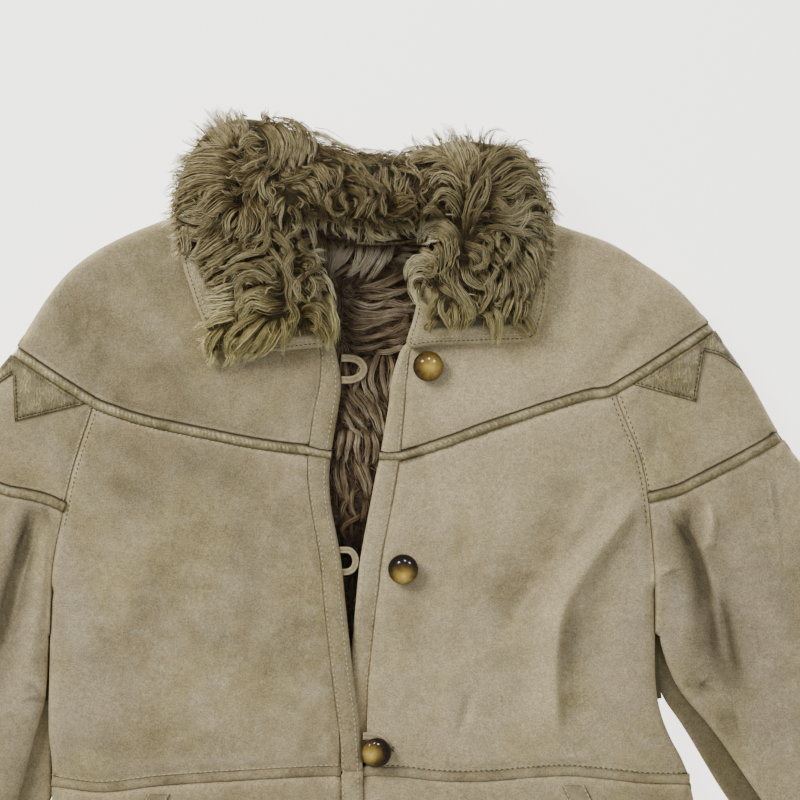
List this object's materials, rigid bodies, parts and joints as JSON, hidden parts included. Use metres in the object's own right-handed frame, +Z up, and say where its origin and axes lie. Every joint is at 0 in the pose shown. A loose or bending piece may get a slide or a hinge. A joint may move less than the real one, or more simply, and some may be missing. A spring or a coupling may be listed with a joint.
{
  "type": "shearling coat",
  "caption": "Hip-length suede shearling coat laid flat, face up, with a large fur collar, leather piping, domed buttons and loops.",
  "frame": {"origin": "middle of the back on the chest line, on the flat underside of the coat", "axes": "+X towards the wearer's left sleeve, +Y from the hem to the collar, +Z up from the surface it lies on"},
  "size_m": [1.1145, 0.9155, 0.0701],
  "materials": {
    "suede": "matt taupe suede side of shearling, mottled nap",
    "suede_strip": "matt suede strip, a shade darker",
    "piping": "smooth wrinkled leather with a soft shine",
    "trim_leather": "smooth leather, cut in triangle points",
    "back_shearling": "suede underneath, brown curly fleece on the inner side",
    "collar_fur": "long wavy khaki fleece",
    "button": "glossy domed resin, amber centre and dark brown rim"
  },
  "bodies": {
    "root": {"back": "back_shearling", "back_skirt": "back_shearling", "back_yoke": "back_shearling", "button_1": "button", "button_2": "button", "button_3": "button", "button_4": "button", "collar": "collar_fur", "front_L": "suede", "front_R": "suede", "front_band_L": "suede", "front_band_R": "suede", "front_skirt_L": "suede", "front_skirt_R": "suede", "front_yoke_L": "suede", "front_yoke_R": "suede", "loop_1": "suede_strip", "loop_2": "suede_strip", "loop_3": "suede_strip", "loop_4": "suede_strip", "pocket_welt_L": "suede_strip", "pocket_welt_R": "suede_strip", "skirt_band_L": "suede", "skirt_band_R": "suede", "sleeve_lower_back_L": "suede", "sleeve_lower_back_R": "suede", "sleeve_lower_front_L": "suede", "sleeve_lower_front_R": "suede", "sleeve_piping_L": "piping", "sleeve_piping_R": "piping", "sleeve_upper_back_L": "suede", "sleeve_upper_back_R": "suede", "sleeve_upper_front_L": "suede", "sleeve_upper_front_R": "suede", "triangle_trim_L": "trim_leather", "triangle_trim_R": "trim_leather", "waist_strip_L": "suede_strip", "waist_strip_R": "suede_strip", "yoke_piping_L": "piping", "yoke_piping_R": "piping"}
  },
  "joints": []
}
